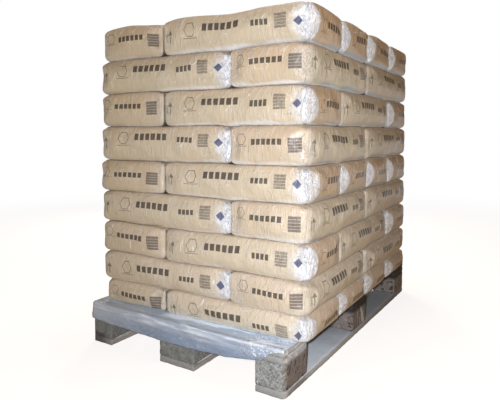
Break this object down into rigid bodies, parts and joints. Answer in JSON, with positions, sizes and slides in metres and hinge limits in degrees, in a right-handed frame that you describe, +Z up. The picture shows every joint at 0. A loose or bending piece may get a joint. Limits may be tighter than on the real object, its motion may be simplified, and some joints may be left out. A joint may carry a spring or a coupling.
{
  "type": "pallet of sacks",
  "caption": "Wooden four-way pallet carrying interlocked layers of filled sacks on a thin plastic cover sheet that hangs over its front edge.",
  "frame": {"origin": "on the floor, at the centre of the whole load's footprint; the pallet's own centre lies 13.5 mm towards -X of it", "axes": "+Z up, X along the pallet's short side, Y along its long side, with the end that shows the hanging sheet at -Y"},
  "size_m": [0.8604, 1.2014, 1.1273],
  "materials": {
    "deck_wood": "weathered, matte",
    "block_wood": "pressed chips, dusty grey, matte",
    "cover_film": "thin creased plastic film, milky blue-grey",
    "sack_skin": "light brown sack paper under a glossy film skin, creased"
  },
  "bodies": {
    "root": {"skid_left": "deck_wood", "skid_middle": "deck_wood", "skid_right": "deck_wood", "block_front_left": "block_wood", "block_front_middle": "block_wood", "block_front_right": "block_wood", "block_middle_left": "block_wood", "block_middle_middle": "block_wood", "block_middle_right": "block_wood", "block_rear_left": "block_wood", "block_rear_middle": "block_wood", "block_rear_right": "block_wood", "cross_board_front": "deck_wood", "cross_board_middle": "deck_wood", "cross_board_rear": "deck_wood", "deck_board_1": "deck_wood", "deck_board_2": "deck_wood", "deck_board_3": "deck_wood", "deck_board_4": "deck_wood", "deck_board_5": "deck_wood", "cover_sheet": "cover_film", "sack_layer_1": "sack_skin", "sack_layer_2": "sack_skin", "sack_layer_3": "sack_skin", "sack_layer_4": "sack_skin", "sack_layer_5": "sack_skin", "sack_layer_6": "sack_skin", "sack_layer_7": "sack_skin", "sack_layer_8": "sack_skin", "sack_layer_9": "sack_skin"}
  },
  "joints": []
}
